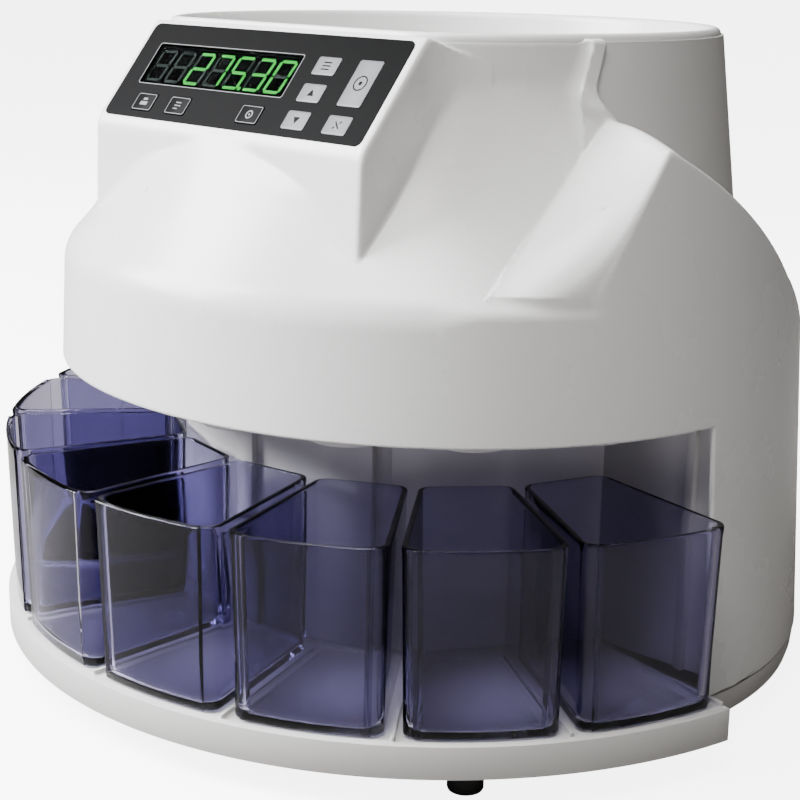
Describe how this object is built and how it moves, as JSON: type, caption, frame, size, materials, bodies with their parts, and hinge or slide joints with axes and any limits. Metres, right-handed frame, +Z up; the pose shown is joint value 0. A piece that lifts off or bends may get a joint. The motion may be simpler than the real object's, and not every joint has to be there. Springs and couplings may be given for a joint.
{
  "type": "coin sorting machine",
  "caption": "Countertop coin sorter: open hopper over a spinning feed disc, slanted key panel with display, and a fan of clear cups on a tray below.",
  "frame": {"origin": "centre of the bounding box at table level", "axes": "+Z up, the panel and cups face -Y, +X is to the right seen from the front"},
  "size_m": [0.3736, 0.33, 0.266],
  "materials": {
    "housing": "satin white",
    "panel_black": "gloss black",
    "window_smoke": "smoked gloss",
    "key_grey": "matt grey",
    "cup_clear": "clear with a blue violet tint",
    "rubber": "matt black",
    "dark_plastic": "matt black",
    "circuit_board": "green lacquer",
    "aluminium": "machined",
    "steel": "brushed",
    "brass": "turned"
  },
  "bodies": {
    "machine": {"top_cover": "housing", "tower_shroud": "housing", "hopper": "housing", "panel_overlay": "panel_black", "display_window": "window_smoke", "display_module": "dark_plastic", "control_board": "circuit_board", "base_tray": "housing", "bay_wall": "housing", "foot_front_1": "rubber", "foot_front_2": "rubber", "foot_rear_1": "rubber", "foot_rear_2": "rubber", "sorting_plate": "aluminium", "coin_ring": "aluminium", "coin_fence": "steel", "coin_guide": "steel", "shaft_bearing": "brass", "sensor_board": "circuit_board", "drive_belt": "rubber", "motor": "steel", "motor_bracket": "steel", "post_right": "steel", "post_left": "steel", "post_rear": "steel", "supply_board": "circuit_board", "rear_panel": "housing", "power_inlet": "dark_plastic", "data_port": "dark_plastic", "chute_sleeve_1": "housing", "chute_sleeve_2": "housing", "chute_sleeve_3": "housing", "chute_sleeve_4": "housing", "chute_sleeve_5": "housing", "chute_sleeve_6": "housing", "chute_sleeve_7": "housing", "chute_sleeve_8": "housing"},
    "feed_rotor": {"feed_disc": "rubber", "disc_hub": "dark_plastic", "main_shaft": "steel", "drive_pulley": "dark_plastic"},
    "motor_rotor": {"motor_pulley": "dark_plastic", "motor_shaft": "steel"},
    "cup_body_1": {"cup_1": "cup_clear"},
    "cup_body_2": {"cup_2": "cup_clear"},
    "cup_body_3": {"cup_3": "cup_clear"},
    "cup_body_4": {"cup_4": "cup_clear"},
    "cup_body_5": {"cup_5": "cup_clear"},
    "cup_body_6": {"cup_6": "cup_clear"},
    "cup_body_7": {"cup_7": "cup_clear"},
    "cup_body_8": {"cup_8": "cup_clear"},
    "key_batch_body": {"key_batch": "key_grey"},
    "key_up_body": {"key_up": "key_grey"},
    "key_down_body": {"key_down": "key_grey"},
    "key_start_body": {"key_start": "key_grey"},
    "key_clear_body": {"key_clear": "key_grey"},
    "key_print_body": {"key_print": "key_grey"},
    "key_report_body": {"key_report": "key_grey"},
    "key_set_body": {"key_set": "key_grey"},
    "switch_body": {"power_switch": "dark_plastic"}
  },
  "joints": [
    {"name": "feed_disc_spin", "type": "hinge", "parent": "machine", "child": "feed_rotor", "pos_m": [0, 0.025, 0.16], "axis": [0, 0, 1], "continuous": true},
    {"name": "motor_spin", "type": "hinge", "parent": "machine", "child": "motor_rotor", "pos_m": [0, 0.097, 0.13], "axis": [0, 0, 1], "continuous": true},
    {"name": "cup_1_slide", "type": "slide", "parent": "machine", "child": "cup_body_1", "axis": [0.9348, -0.3552, 0], "range_m": [0, 0.07]},
    {"name": "cup_2_slide", "type": "slide", "parent": "machine", "child": "cup_body_2", "axis": [0.7596, -0.6504, 0], "range_m": [0, 0.07]},
    {"name": "cup_3_slide", "type": "slide", "parent": "machine", "child": "cup_body_3", "axis": [0.4948, -0.869, 0], "range_m": [0, 0.07]},
    {"name": "cup_4_slide", "type": "slide", "parent": "machine", "child": "cup_body_4", "axis": [0.1717, -0.9852, 0], "range_m": [0, 0.07]},
    {"name": "cup_5_slide", "type": "slide", "parent": "machine", "child": "cup_body_5", "axis": [-0.1717, -0.9852, 0], "range_m": [0, 0.07]},
    {"name": "cup_6_slide", "type": "slide", "parent": "machine", "child": "cup_body_6", "axis": [-0.4948, -0.869, 0], "range_m": [0, 0.07]},
    {"name": "cup_7_slide", "type": "slide", "parent": "machine", "child": "cup_body_7", "axis": [-0.7596, -0.6504, 0], "range_m": [0, 0.07]},
    {"name": "cup_8_slide", "type": "slide", "parent": "machine", "child": "cup_body_8", "axis": [-0.9348, -0.3552, 0], "range_m": [0, 0.07]},
    {"name": "key_batch_press", "type": "slide", "parent": "machine", "child": "key_batch_body", "axis": [0, 0.7804, -0.6252], "range_m": [0, 0.0006], "stiffness_N_per_m": 900, "springref_m": -0.0004},
    {"name": "key_up_press", "type": "slide", "parent": "machine", "child": "key_up_body", "axis": [0, 0.7804, -0.6252], "range_m": [0, 0.0006], "stiffness_N_per_m": 900, "springref_m": -0.0004},
    {"name": "key_down_press", "type": "slide", "parent": "machine", "child": "key_down_body", "axis": [0, 0.7804, -0.6252], "range_m": [0, 0.0006], "stiffness_N_per_m": 900, "springref_m": -0.0004},
    {"name": "key_start_press", "type": "slide", "parent": "machine", "child": "key_start_body", "axis": [0, 0.7804, -0.6252], "range_m": [0, 0.0006], "stiffness_N_per_m": 900, "springref_m": -0.0004},
    {"name": "key_clear_press", "type": "slide", "parent": "machine", "child": "key_clear_body", "axis": [0, 0.7804, -0.6252], "range_m": [0, 0.0006], "stiffness_N_per_m": 900, "springref_m": -0.0004},
    {"name": "key_print_press", "type": "slide", "parent": "machine", "child": "key_print_body", "axis": [0, 0.7804, -0.6252], "range_m": [0, 0.0006], "stiffness_N_per_m": 900, "springref_m": -0.0004},
    {"name": "key_report_press", "type": "slide", "parent": "machine", "child": "key_report_body", "axis": [0, 0.7804, -0.6252], "range_m": [0, 0.0006], "stiffness_N_per_m": 900, "springref_m": -0.0004},
    {"name": "key_set_press", "type": "slide", "parent": "machine", "child": "key_set_body", "axis": [0, 0.7804, -0.6252], "range_m": [0, 0.0006], "stiffness_N_per_m": 900, "springref_m": -0.0004},
    {"name": "power_switch_rock", "type": "hinge", "parent": "machine", "child": "switch_body", "pos_m": [0.01, 0.1618, 0.05], "axis": [1, 0, 0], "range_deg": [-12, 0]}
  ],
  "couplings": [
    {"joint": "motor_spin", "follows": "feed_disc_spin", "ratio": 5.1111}
  ]
}
